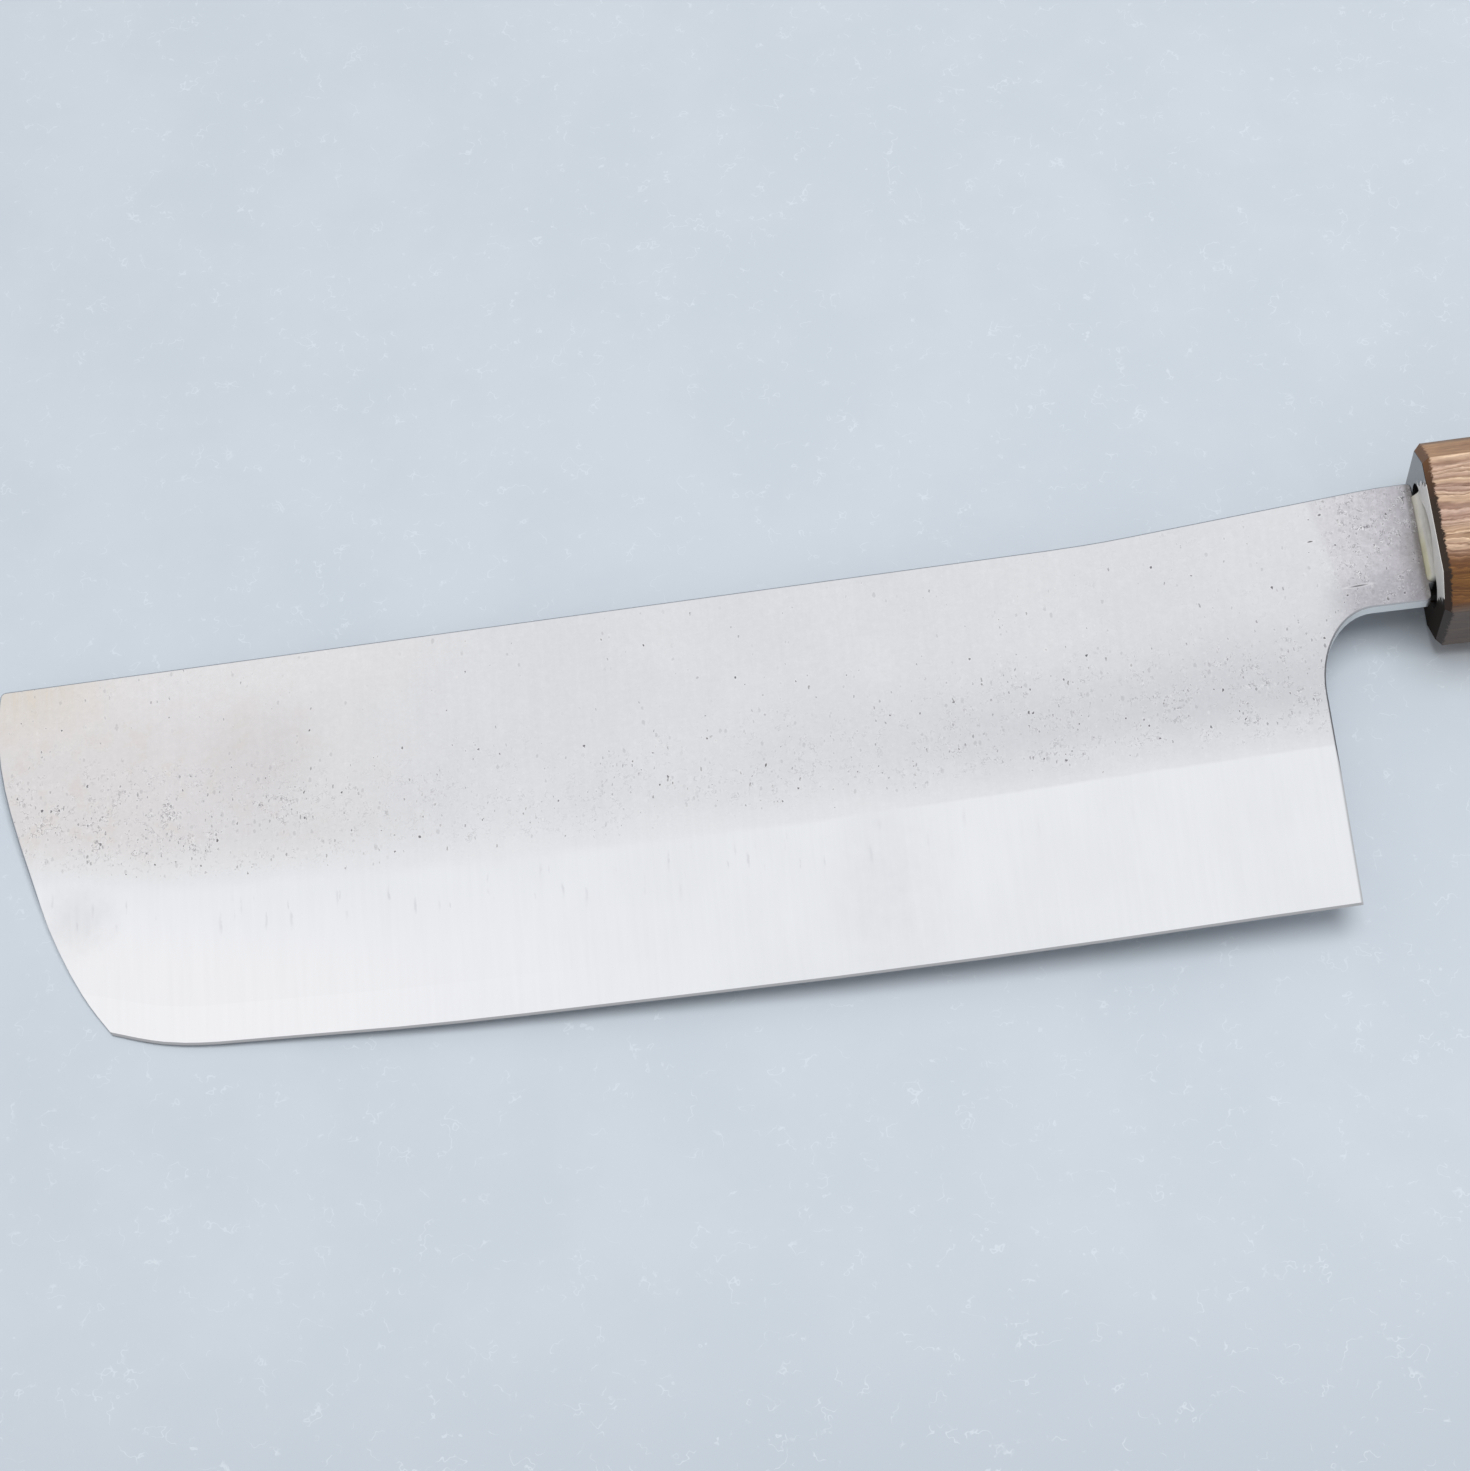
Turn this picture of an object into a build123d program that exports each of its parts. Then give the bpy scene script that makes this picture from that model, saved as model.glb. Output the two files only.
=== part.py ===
from build123d import *
import math
import os

# Nakiri knife: a vegetable knife with a laminated blade ground on both sides and an octagonal wooden
# handle. All lengths are in millimetres. The origin is the centre of the handle's front face, on the
# blade's middle plane. +X runs along the handle to its butt, +Y from the cutting edge to the spine,
# and +Z out of the blade's left side.

# Blade outline
blade_length = 165.0        # from the heel line to the furthest point of the tip
heel_setback = 15.0         # from the heel line to the handle's front face
neck_rise = 8.15            # top of the neck above the handle's axis
neck_drop = 7.8             # bottom of the neck below the axis
heel_depth = 45.1           # edge below the handle's axis at the heel
belly_depth = 46.9          # edge below the axis at its lowest point
tip_depth = 43.5            # edge below the axis at the lower corner of the tip
tip_rake = 14.25            # lower corner of the tip, behind the tip's furthest point
tip_rise = 3.1              # spine above the axis at the tip
tip_corner_round = 0.8      # corner between tip and spine
knee_rise = 5.17            # spine above the axis where it starts to climb to the neck
knee_setback = 41.0         # that knee, in front of the handle
knee_round = 150.0
neck_run = 4.8              # level top of the neck, in front of the handle
neck_round = 60.0           # where the climb ends in it
choil_reach = 7.3           # the choil's curve, along the blade
choil_drop = 10.5           # the choil's curve, down from the neck

# Blade section
heel_thickness = 2.2        # plate at the heel
tip_thickness = 1.5         # plate at the tip
road_height = 20.0          # ground bevel above the cutting edge, at the heel
road_tip_height = 18.4      # the same past the lower corner of the tip
edge_thickness = 0.2        # blade behind its sharpened edge
edge_height = 0.3           # height of the sharpened edge
core_share = 0.33           # core steel's share of the plate's thickness
eased_corner = 0.2          # taken off the corners of spine, neck and choil

# Tang
shoulder_gap = 0.45         # from the shoulders to the handle's front face
shoulder_round = 0.7
tang_front_width = 11.2
tang_end_width = 6.4
tang_end_thickness = 1.8
tang_length = 92.0

# Handle
handle_length = 132.0
front_width = 23.0
front_height = 17.8
front_bevel = 3.9           # each way, at the octagon's four corners
butt_width = 25.4
butt_height = 19.8
butt_bevel = 4.3
arris_round = 0.35          # long edges of the octagon
front_chamfer = 0.8
butt_chamfer = 1.2

# Mouth slot and drilled bore in the handle, and the clearances of the tang in them
slot_depth = 30.0
slot_end_gap = 2.6          # above and below the tang
slot_side_gap = 2.13        # either side of the tang
bore_gap = 0.55             # round the tang's corners where the slot ends
bore_bottom_gap = 6.0       # behind the tang
drill_point_angle = 118.0

# Resin in the mouth and glue round the tang
seal_depth = 6.0            # resin in the slot, behind the handle's front face
seal_lap = 0.7              # resin past the tang's edges, short of the slot's ends, which stay open
seal_bead = 0.8             # resin standing out along the neck
bond_bottom_gap = 2.0       # air between the glue and the bottom of the bore

# Overrun of a cutting form past what it cuts, and of the grinding form outside the plate
overrun = 5.0
grind_margin = 0.3

heel_x = -heel_setback
tip_x = heel_x - blade_length
choil_x = heel_x + choil_reach
shoulder_x = -shoulder_gap


def plate_half(x):
    """Half of the plate's thickness, which tapers from the heel both to the tip and to the tang's end."""
    if x < heel_x:
        share = (heel_x - x) / blade_length
        return (heel_thickness + (tip_thickness - heel_thickness) * share) / 2
    share = (x - heel_x) / (tang_length - heel_x)
    return (heel_thickness + (tang_end_thickness - heel_thickness) * share) / 2


def tang_half(x):
    """Half of the tang's width, which tapers from its shoulders to its end."""
    taper = (tang_front_width - tang_end_width) / (tang_length - shoulder_x)
    return (tang_front_width - taper * (x - shoulder_x)) / 2


slot_width = tang_front_width + 2 * slot_end_gap
slot_height = 2 * (plate_half(0) + slot_side_gap)
bore_radius = math.hypot(tang_half(slot_depth), plate_half(0)) + bore_gap
bore_depth = tang_length + bore_bottom_gap
seal_width = tang_front_width + 2 * seal_lap


def tip_points():
    """Front end of the blade, from below its lower corner up to the spine."""
    height_shares = (-0.10, 0.0, 0.085, 0.24, 0.52, 0.80, 1.0)
    rake_shares = (1.26, 1.0, 0.805, 0.547, 0.23, 0.02, 0.036)
    height = tip_depth + tip_rise
    return [
        (tip_x + tip_rake * rake, -tip_depth + height * rise)
        for rake, rise in zip(rake_shares, height_shares)
    ]


def edge_stations():
    """Places along the blade from the choil to past the tip, each with the depth of the cutting edge and
    the height of the road above it."""
    heel_side_shares = ((0.0, 0.0), (0.12, 0.34), (0.27, 0.74), (0.42, 0.95), (0.56, 1.0))
    tip_side_shares = ((0.70, 0.03), (0.81, 0.20), (0.88, 0.51), (0.913, 1.0), (0.96, 1.5), (1.02, 2.3))
    road_shares = (0.0, 0.0, 0.0, 0.05, 0.15, 0.2, 0.2, 0.1, 0.35, 0.7, 1.0, 1.0)
    fall = belly_depth - heel_depth
    rise = belly_depth - tip_depth
    stations = [(choil_x, heel_depth - fall * choil_reach / blade_length)]
    stations += [(heel_x - blade_length * run, heel_depth + fall * share) for run, share in heel_side_shares]
    stations += [(heel_x - blade_length * run, belly_depth - rise * share) for run, share in tip_side_shares]
    return [
        (x, depth, road_height + (road_tip_height - road_height) * share)
        for (x, depth), share in zip(stations, road_shares)
    ]


def side_plane(side, end_x, end_thickness, share=1):
    """Plane on one side of the plate, facing outwards: from the plate's thickness at the heel line to the
    one at an end, or at a share of both."""
    slope = share * (heel_thickness - end_thickness) / 2 / (end_x - heel_x)
    return Plane(origin=(heel_x, 0, side * share * heel_thickness / 2), z_dir=(slope, 0, side))


def section_points(x, depth, road):
    """Ground section at one station, open above the plate's own faces: sharpened edge, road and sides."""
    side = plate_half(x) + grind_margin
    steepness = (plate_half(x) - edge_thickness / 2) / (road - edge_height)
    shoulder = -depth + edge_height + (side - edge_thickness / 2) / steepness
    right = [(-depth + edge_height, -edge_thickness / 2), (shoulder, -side), (neck_rise + overrun, -side)]
    left = [(y, -z) for y, z in reversed(right)]
    return [(-depth, 0)] + right + left


# Side profile of blade, neck and tang, drawn deeper than the cutting edge, which the grinding leaves
with BuildSketch(Plane.XY) as profile:
    with BuildLine():
        tip = Spline(*tip_points())
        spine_and_tang = Polyline(
            tip @ 1,
            (-knee_setback, knee_rise),
            (-neck_run, neck_rise),
            (shoulder_x, neck_rise),
            (shoulder_x, tang_front_width / 2),
            (tang_length, tang_end_width / 2),
            (tang_length, -tang_end_width / 2),
            (shoulder_x, -tang_front_width / 2),
            (shoulder_x, -neck_drop),
            (choil_x, -neck_drop),
        )
        choil = EllipticalCenterArc(
            (choil_x, -neck_drop - choil_drop), choil_reach, choil_drop, start_angle=90, arc_size=90
        )
        heel = Polyline(
            choil @ 1,
            (heel_x, -belly_depth - overrun),
            (tip @ 0) - (tip % 0) * overrun,
            tip @ 0,
        )
    make_face()
    for corner, radius in (
        ((shoulder_x, neck_rise), shoulder_round),
        ((shoulder_x, -neck_drop), shoulder_round),
        ((-neck_run, neck_rise), neck_round),
        ((-knee_setback, knee_rise), knee_round),
        (tip @ 1, tip_corner_round),
    ):
        fillet(profile.vertices().sort_by_distance(corner)[0], radius)

# Plate of blade and tang: two flat sides that taper from the heel to the tip, with their corners eased,
# and that fall off the other way over the neck and the tang
with BuildPart() as plate:
    with BuildSketch(Plane.XY.offset(-heel_thickness)):
        add(profile.sketch)
    extrude(amount=2 * heel_thickness)
    for side in (1, -1):
        split(bisect_by=side_plane(side, tip_x, tip_thickness), keep=Keep.BOTTOM)
    broad_sides = plate.faces().sort_by(SortBy.AREA)[-2:]
    chamfer(broad_sides.edges(), eased_corner)
    for side in (1, -1):
        split(bisect_by=side_plane(side, tang_length, tang_end_thickness), keep=Keep.BOTTOM)

# Form that the two grinding passes leave: a wedge down to the edge, wider than the plate above
with BuildPart() as ground_form:
    for station in edge_stations():
        with BuildSketch(Plane.YZ.offset(station[0])):
            with BuildLine():
                Polyline(*section_points(*station), close=True)
            make_face()
    loft()
    with BuildSketch(Plane.YZ.offset(choil_x - grind_margin)):
        Rectangle(2 * (neck_rise + overrun), heel_thickness + 2 * grind_margin)
    extrude(amount=tang_length + overrun - choil_x)

with BuildPart() as blade:
    add(plate.part)
    add(ground_form.part, mode=Mode.INTERSECT)

# Three forge-welded layers of the blade, which part along two planes that taper with the plate
with BuildPart() as left_cladding:
    add(blade.part)
    split(bisect_by=side_plane(1, tip_x, tip_thickness, core_share), keep=Keep.TOP)

with BuildPart() as core_steel:
    add(blade.part)
    for side in (1, -1):
        split(bisect_by=side_plane(side, tip_x, tip_thickness, core_share), keep=Keep.BOTTOM)

with BuildPart() as right_cladding:
    add(blade.part)
    split(bisect_by=side_plane(-1, tip_x, tip_thickness, core_share), keep=Keep.TOP)


def octagon(x, width, height, bevel):
    """Corners of the handle's section at one end: a rectangle with its four corners bevelled."""
    quarter = ((width / 2, height / 2 - bevel), (width / 2 - bevel, height / 2))
    return [(x, across * y, up * z) for y, z in quarter for across in (1, -1) for up in (1, -1)]


# Handle: one piece of wood, planed to an octagon that grows towards the butt, with the mouth slot cut
# and the bore drilled from its front end
with BuildPart() as handle:
    ConvexPolyhedron(
        octagon(0, front_width, front_height, front_bevel)
        + octagon(handle_length, butt_width, butt_height, butt_bevel)
    )
    chamfer(handle.faces().sort_by(Axis.X)[0].edges(), front_chamfer)
    chamfer(handle.faces().sort_by(Axis.X)[-1].edges(), butt_chamfer)
    fillet(handle.edges().filter_by(lambda edge: edge.length > handle_length / 2), arris_round)
    with BuildSketch(Plane.YZ):
        SlotOverall(slot_width, slot_height)
    extrude(amount=slot_depth, mode=Mode.SUBTRACT)
    with BuildSketch(Plane.YZ):
        Circle(bore_radius)
    extrude(amount=bore_depth, mode=Mode.SUBTRACT)
    with Locations(Plane.YZ.offset(bore_depth)):
        Cone(
            bore_radius,
            0,
            bore_radius / math.tan(math.radians(drill_point_angle / 2)),
            align=(Align.CENTER, Align.CENTER, Align.MIN),
            mode=Mode.SUBTRACT,
        )

# Resin in the mouth of the slot, with a low bead along both sides of the neck
with BuildPart() as mouth_seal:
    with BuildSketch(Plane.YZ):
        SlotOverall(slot_width, slot_height)
        Rectangle(seal_width, slot_height, mode=Mode.INTERSECT)
    extrude(amount=seal_depth)
    with BuildSketch(Plane.YZ) as bead_foot:
        Rectangle(seal_width - seal_bead, slot_height - seal_bead)
    with BuildSketch(Plane.YZ.offset(-seal_bead)) as bead_top:
        Rectangle(seal_width - 2 * seal_bead, 2 * plate_half(0) + seal_bead)
    loft([bead_foot.sketch.face(), bead_top.sketch.face()])
    add(blade.part, mode=Mode.SUBTRACT)

# Glue round the tang, from the resin to near the bottom of the bore
with BuildPart() as tang_bond:
    with BuildSketch(Plane.YZ.offset(seal_depth)):
        SlotOverall(slot_width, slot_height)
    extrude(amount=slot_depth - seal_depth)
    with BuildSketch(Plane.YZ.offset(seal_depth)):
        Circle(bore_radius)
    extrude(amount=bore_depth - bond_bottom_gap - seal_depth)
    add(blade.part, mode=Mode.SUBTRACT)

core_steel.part.label = "core_steel"
left_cladding.part.label = "left_cladding"
right_cladding.part.label = "right_cladding"
handle.part.label = "handle"
tang_bond.part.label = "tang_bond"
mouth_seal.part.label = "mouth_seal"

os.makedirs("parts", exist_ok=True)
export_step(core_steel.part, "parts/core_steel.step")
export_step(left_cladding.part, "parts/left_cladding.step")
export_step(right_cladding.part, "parts/right_cladding.step")
export_step(handle.part, "parts/handle.step")
export_step(tang_bond.part, "parts/tang_bond.step")
export_step(mouth_seal.part, "parts/mouth_seal.step")
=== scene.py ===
import math

import bpy
from mathutils import Matrix, Vector


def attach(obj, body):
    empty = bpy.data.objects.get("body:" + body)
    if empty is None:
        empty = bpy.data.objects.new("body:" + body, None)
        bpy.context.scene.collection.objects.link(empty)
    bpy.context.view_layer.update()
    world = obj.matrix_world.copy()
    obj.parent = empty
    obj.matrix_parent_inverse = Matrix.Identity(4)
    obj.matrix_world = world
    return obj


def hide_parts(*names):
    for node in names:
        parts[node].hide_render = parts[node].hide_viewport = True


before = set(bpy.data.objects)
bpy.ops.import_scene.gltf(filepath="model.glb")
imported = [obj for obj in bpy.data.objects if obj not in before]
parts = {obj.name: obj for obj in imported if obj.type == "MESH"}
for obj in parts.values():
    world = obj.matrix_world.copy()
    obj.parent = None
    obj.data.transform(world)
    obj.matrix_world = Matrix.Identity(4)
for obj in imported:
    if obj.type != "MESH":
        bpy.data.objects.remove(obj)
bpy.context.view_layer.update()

# Core: the thin sheet of hard steel in the middle of the blade. It comes to light as the cutting
# edge, as the lowest few millimetres of the ground road, and as the middle line of spine, choil
# and heel. It is stone-ground with the claddings after the three layers are forge-welded.


def linear(hex_colour):
    """Linear colour of an sRGB hex value."""
    channels = [int(hex_colour[i : i + 2], 16) / 255 for i in (1, 3, 5)]
    return [c / 12.92 if c <= 0.04045 else ((c + 0.055) / 1.055) ** 2.4 for c in channels] + [1.0]


def add(tree, kind, *values, named=None, **settings):
    """Adds one node. Values go to its inputs in order (None skips one), named ones by name."""
    made = tree.nodes.new(kind)
    for key, setting in settings.items():
        setattr(made, key, setting)
    for key, value in [*enumerate(values), *(named or {}).items()]:
        if isinstance(value, bpy.types.Node):
            value = next(socket for socket in value.outputs if socket.enabled)
        if isinstance(value, bpy.types.NodeSocket):
            tree.links.new(value, made.inputs[key])
        elif value is not None:
            made.inputs[key].default_value = value
    return made


def start_finish(name):
    """An empty node material, its tree, and the place on the piece in mm, whole and by axis."""
    material = bpy.data.materials.new(name)
    material.use_nodes = True
    tree = material.node_tree
    tree.nodes.clear()
    place = add(tree, "ShaderNodeTexCoord")
    mm = add(tree, "ShaderNodeMapping", place.outputs["Object"], None, None, (1000, 1000, 1000))
    return material, tree, mm, add(tree, "ShaderNodeSeparateXYZ", mm).outputs


def dress(node_name, material):
    """Gives a CAD node its finish."""
    slots = parts[node_name].data.materials
    slots.clear()
    slots.append(material)


smooth = {"interpolation_type": "SMOOTHSTEP"}

# Marks on the blade, in mm: its far end, the heel, and the line where the flat meets the ground
# road, as places along the blade with their heights
blade_end_x = -180.0
heel_x = -15.0
road_line_low, road_line_high = -30.0, -20.0
road_line = (
    (-176.0, -23.2),
    (-171.9, -23.6),
    (-160.6, -25.6),
    (-146.9, -26.4),
    (-123.3, -27.2),
    (-86.4, -27.05),
    (-61.9, -26.5),
    (-37.5, -25.7),
    (-15.0, -25.1),
    (0.0, -24.9),
)


def ground_steel(name, road_hex, edge_hex, pitted):
    """Laminated blade steel: satin and finely pitted above the road line, wet-ground below it.

    The satin part is the forged skin, cleaned and ground flat, and keeps the pits of the forge
    scale. The road is brighter and even, with short smears of the grinding mud below the line.
    Places are in mm. Map Range takes a value, the range it runs over, and the share at each end.
    """
    material, tree, mm, (x, y, z) = start_finish(name)
    along = add(tree, "ShaderNodeMapRange", x, blade_end_x, 0.0)
    line = add(tree, "ShaderNodeFloatCurve", None, along)
    points = line.mapping.curves[0].points
    for i, (line_x, line_y) in enumerate(road_line):
        where = (
            (line_x - blade_end_x) / -blade_end_x,
            (line_y - road_line_low) / (road_line_high - road_line_low),
        )
        point = points[i] if i < 2 else points.new(*where)
        point.location = where
    line.mapping.update()
    line_height = add(
        tree, "ShaderNodeMapRange", line, 0.0, 1.0, road_line_low, road_line_high
    )
    waver = add(tree, "ShaderNodeTexNoise", mm, None, 0.25, 4.0, 0.65)
    waver = add(tree, "ShaderNodeMath", waver, 0.5, operation="SUBTRACT")
    waver_reach = add(tree, "ShaderNodeMapRange", x, -60.0, -140.0, 0.5, 1.8)
    above = add(tree, "ShaderNodeMath", y, line_height, operation="SUBTRACT")
    above = add(tree, "ShaderNodeMath", waver, waver_reach, above, operation="MULTIPLY_ADD")

    clouds = add(tree, "ShaderNodeTexNoise", mm, None, 0.05, 3.0, 0.55)
    mottle = add(tree, "ShaderNodeTexNoise", mm, None, 0.45, 4.0, 0.7)
    # Grit marks of the satin finish: 0.1 mm, drawn at 0.3 mm so that they show
    grit = add(tree, "ShaderNodeTexNoise", mm, None, 3.2, 3.0, 0.65)
    stroke_place = add(tree, "ShaderNodeMapping", mm, None, None, (1.5, 0.07, 1.0))
    strokes = add(tree, "ShaderNodeTexNoise", stroke_place, None, 1.0, 4.0, 0.6)

    # Flat: even satin grey with soft clouds, and a belt of painted shade, where the curved flat
    # mirrors less light, that fades in towards the heel
    cloud_share = add(tree, "ShaderNodeMapRange", clouds, 0.35, 0.65, **smooth)
    flat = add(tree, "ShaderNodeMixRGB", cloud_share, linear("#dfe0e4"), linear("#e2e3e6"))
    belt_low = add(tree, "ShaderNodeMapRange", above, 2.0, 7.5, **smooth)
    belt_high = add(tree, "ShaderNodeMapRange", above, 20.0, 8.5, **smooth)
    painted_belt_shade = add(tree, "ShaderNodeMath", belt_low, belt_high, operation="MULTIPLY")
    heel_share = add(tree, "ShaderNodeMapRange", x, -100.0, -20.0, 0.0, 0.4)
    tip_share = add(tree, "ShaderNodeMapRange", x, -120.0, -160.0, 0.0, 0.16)
    belt_share = add(tree, "ShaderNodeMath", heel_share, tip_share, operation="MAXIMUM")
    painted_belt_shade = add(tree, "ShaderNodeMath", painted_belt_shade, belt_share, operation="MULTIPLY")
    flat = add(tree, "ShaderNodeMixRGB", painted_belt_shade, flat, linear("#bfc0c6"))
    # The tip's side is browner, has a smudge in the middle, and is lighter along the spine
    tip_warmth = add(tree, "ShaderNodeMapRange", x, -115.0, -172.0, 0.0, 0.75, **smooth)
    flat = add(tree, "ShaderNodeMixRGB", tip_warmth, flat, linear("#e1dddd"))
    from_smudge = add(tree, "ShaderNodeVectorMath", mm, (-146.0, -9.0, 0.0), operation="DISTANCE")
    smudge = add(tree, "ShaderNodeMapRange", from_smudge, 11.0, 2.0, 0.0, 0.3, **smooth)
    smudge = add(tree, "ShaderNodeMath", smudge, mottle, operation="MULTIPLY")
    flat = add(tree, "ShaderNodeMixRGB", smudge, flat, linear("#b9b0ad"))
    warm = add(tree, "ShaderNodeTexNoise", mm, None, 0.3, 4.0, 0.7)
    warm = add(tree, "ShaderNodeMapRange", warm, 0.5, 0.66, 0.0, 0.4, **smooth)
    warm = add(tree, "ShaderNodeMath", warm, tip_warmth, operation="MULTIPLY")
    flat = add(tree, "ShaderNodeMixRGB", warm, flat, linear("#dbd0c9"))
    near_spine = add(tree, "ShaderNodeMapRange", y, -8.0, 3.0, **smooth)
    spine_share = add(tree, "ShaderNodeMapRange", x, -105.0, -150.0, 0.0, 0.7, **smooth)
    spine_light = add(tree, "ShaderNodeMath", near_spine, spine_share, operation="MULTIPLY")
    flat = add(tree, "ShaderNodeMixRGB", spine_light, flat, linear("#e8e7e9"))
    corner = add(tree, "ShaderNodeMapRange", x, -160.0, -176.0, 0.0, 0.8, **smooth)
    corner = add(tree, "ShaderNodeMath", corner, near_spine, operation="MULTIPLY")
    corner = add(tree, "ShaderNodeMath", corner, strokes, operation="MULTIPLY")
    flat = add(tree, "ShaderNodeMixRGB", corner, flat, linear("#d8cbb6"))
    # The neck is dimmer and more lilac from a soft line on, blotched, and darker towards its lower
    # edge. Its dimming towards the handle is partly painted shade, and its darkest part beside the
    # handle is a painted shadow of the handle
    neck_line = add(tree, "ShaderNodeMath", y, 0.2, x, operation="MULTIPLY_ADD")
    neck = add(tree, "ShaderNodeMapRange", neck_line, -12.6, -11.6, 0.0, 0.2, **smooth)
    flat = add(tree, "ShaderNodeMixRGB", neck, flat, linear("#bdb8c1"))
    neck = add(tree, "ShaderNodeMapRange", x, -13.0, -2.0, 0.0, 0.6, **smooth)
    flat = add(tree, "ShaderNodeMixRGB", neck, flat, linear("#bcb8c0"))
    # Painted shadow of the handle on the lower part of the neck, right beside the handle
    painted_handle_shadow = add(tree, "ShaderNodeMapRange", x, -4.2, -1.4, 0.0, 0.45, **smooth)
    painted_handle_shadow_low = add(tree, "ShaderNodeMapRange", y, 5.0, 0.0, **smooth)
    painted_handle_shadow = add(tree, "ShaderNodeMath", painted_handle_shadow, painted_handle_shadow_low, operation="MULTIPLY")
    flat = add(tree, "ShaderNodeMixRGB", painted_handle_shadow, flat, linear("#9d9797"))
    neck_low = add(tree, "ShaderNodeMapRange", y, -1.5, -6.5, 0.0, 0.5, **smooth)
    neck_part = add(tree, "ShaderNodeMapRange", x, heel_x, -9.0, **smooth)
    neck_low = add(tree, "ShaderNodeMath", neck_low, neck_part, operation="MULTIPLY")
    flat = add(tree, "ShaderNodeMixRGB", neck_low, flat, linear("#a3a2ab"))
    blotch = add(tree, "ShaderNodeTexNoise", mm, None, 1.1, 4.0, 0.7)
    blotch = add(tree, "ShaderNodeMapRange", blotch, 0.35, 0.65, -1.0, 1.0)
    blotch_share = add(tree, "ShaderNodeMapRange", x, -14.0, -4.0, 0.02, 0.1, **smooth)
    blotch = add(tree, "ShaderNodeMath", blotch, blotch_share, 1.0, operation="MULTIPLY_ADD")
    flat = add(tree, "ShaderNodeMixRGB", 1.0, flat, blotch, blend_type="MULTIPLY")
    speckle = add(tree, "ShaderNodeTexNoise", mm, None, 2.6, 3.0, 0.7)
    speckle = add(tree, "ShaderNodeMapRange", speckle, 0.3, 0.7, -1.0, 1.0)
    speckle_share = add(tree, "ShaderNodeMapRange", x, heel_x, -11.0, 0.0, 0.06, **smooth)
    speckle = add(tree, "ShaderNodeMath", speckle, speckle_share, 1.0, operation="MULTIPLY_ADD")
    flat = add(tree, "ShaderNodeMixRGB", 1.0, flat, speckle, blend_type="MULTIPLY")
    # Painted shade: a dark line at the foot of the neck, where the resin starts
    painted_foot_shade = add(tree, "ShaderNodeMapRange", x, -1.65, -0.95, 0.0, 0.75, **smooth)
    flat = add(tree, "ShaderNodeMixRGB", painted_foot_shade, flat, linear("#8b8683"))
    # Painted highlight: a lighter rim just above the road line, where the curved flat mirrors more
    # light, wide and soft towards the tip, narrow towards the heel
    painted_highlight_width = add(tree, "ShaderNodeMapRange", x, -115.0, -45.0, 7.0, 2.4)
    rim = add(tree, "ShaderNodeMath", above, painted_highlight_width, operation="DIVIDE")
    rim = add(tree, "ShaderNodeMapRange", rim, 1.0, 0.0, **smooth)
    painted_highlight_share = add(tree, "ShaderNodeMapRange", x, -50.0, -140.0, 0.5, 1.0)
    rim = add(tree, "ShaderNodeMath", rim, painted_highlight_share, operation="MULTIPLY")
    flat = add(tree, "ShaderNodeMixRGB", rim, flat, linear("#e9eaed"))
    flat_strokes = add(tree, "ShaderNodeMapRange", strokes, 0.25, 0.75, 0.985, 1.015)
    flat_grit = add(tree, "ShaderNodeMapRange", grit, 0.3, 0.7, 0.983, 1.013)
    flat_tone = add(tree, "ShaderNodeMath", flat_strokes, flat_grit, operation="MULTIPLY")
    mottle_tone = add(tree, "ShaderNodeMapRange", mottle, 0.3, 0.7, 0.985, 1.012)
    flat_tone = add(tree, "ShaderNodeMath", flat_tone, mottle_tone, operation="MULTIPLY")
    flat = add(tree, "ShaderNodeMixRGB", 1.0, flat, flat_tone, blend_type="MULTIPLY")

    # Road: brighter, most along the edge towards the tip, and stained in the middle and at the tip
    road = add(tree, "ShaderNodeMixRGB", cloud_share, linear(road_hex), linear("#e8eaee"))
    depth = add(tree, "ShaderNodeMath", x, -0.12, -15.6, operation="MULTIPLY_ADD")
    depth = add(tree, "ShaderNodeMath", depth, above, operation="SUBTRACT")
    shine = add(tree, "ShaderNodeMapRange", depth, 1.0, 14.0, **smooth)
    tip_side = add(tree, "ShaderNodeMapRange", x, -85.0, -150.0, **smooth)
    shine = add(tree, "ShaderNodeMath", shine, tip_side, operation="MULTIPLY")
    road = add(tree, "ShaderNodeMixRGB", shine, road, linear(edge_hex))
    stain = add(tree, "ShaderNodeVectorMath", mm, (-70.0, -36.0, 0.0), operation="SUBTRACT")
    stain = add(tree, "ShaderNodeVectorMath", stain, (1.0, 0.65, 0.0), operation="MULTIPLY")
    stain = add(tree, "ShaderNodeVectorMath", stain, operation="LENGTH")
    stain = add(tree, "ShaderNodeMapRange", stain, 11.0, 1.0, 0.0, 0.42, **smooth)
    stain = add(tree, "ShaderNodeMath", stain, mottle, operation="MULTIPLY")
    road = add(tree, "ShaderNodeMixRGB", stain, road, linear("#cfd0d5"))
    tip_stain = add(tree, "ShaderNodeVectorMath", mm, (-170.0, -28.5, 0.0), operation="DISTANCE")
    tip_stain = add(tree, "ShaderNodeMath", mottle, 6.0, tip_stain, operation="MULTIPLY_ADD")
    tip_stain = add(tree, "ShaderNodeMapRange", tip_stain, 9.5, 3.5, 0.0, 0.65, **smooth)
    tip_stain = add(tree, "ShaderNodeMath", tip_stain, strokes, operation="MULTIPLY")
    road = add(tree, "ShaderNodeMixRGB", tip_stain, road, linear("#cdced1"))
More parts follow.
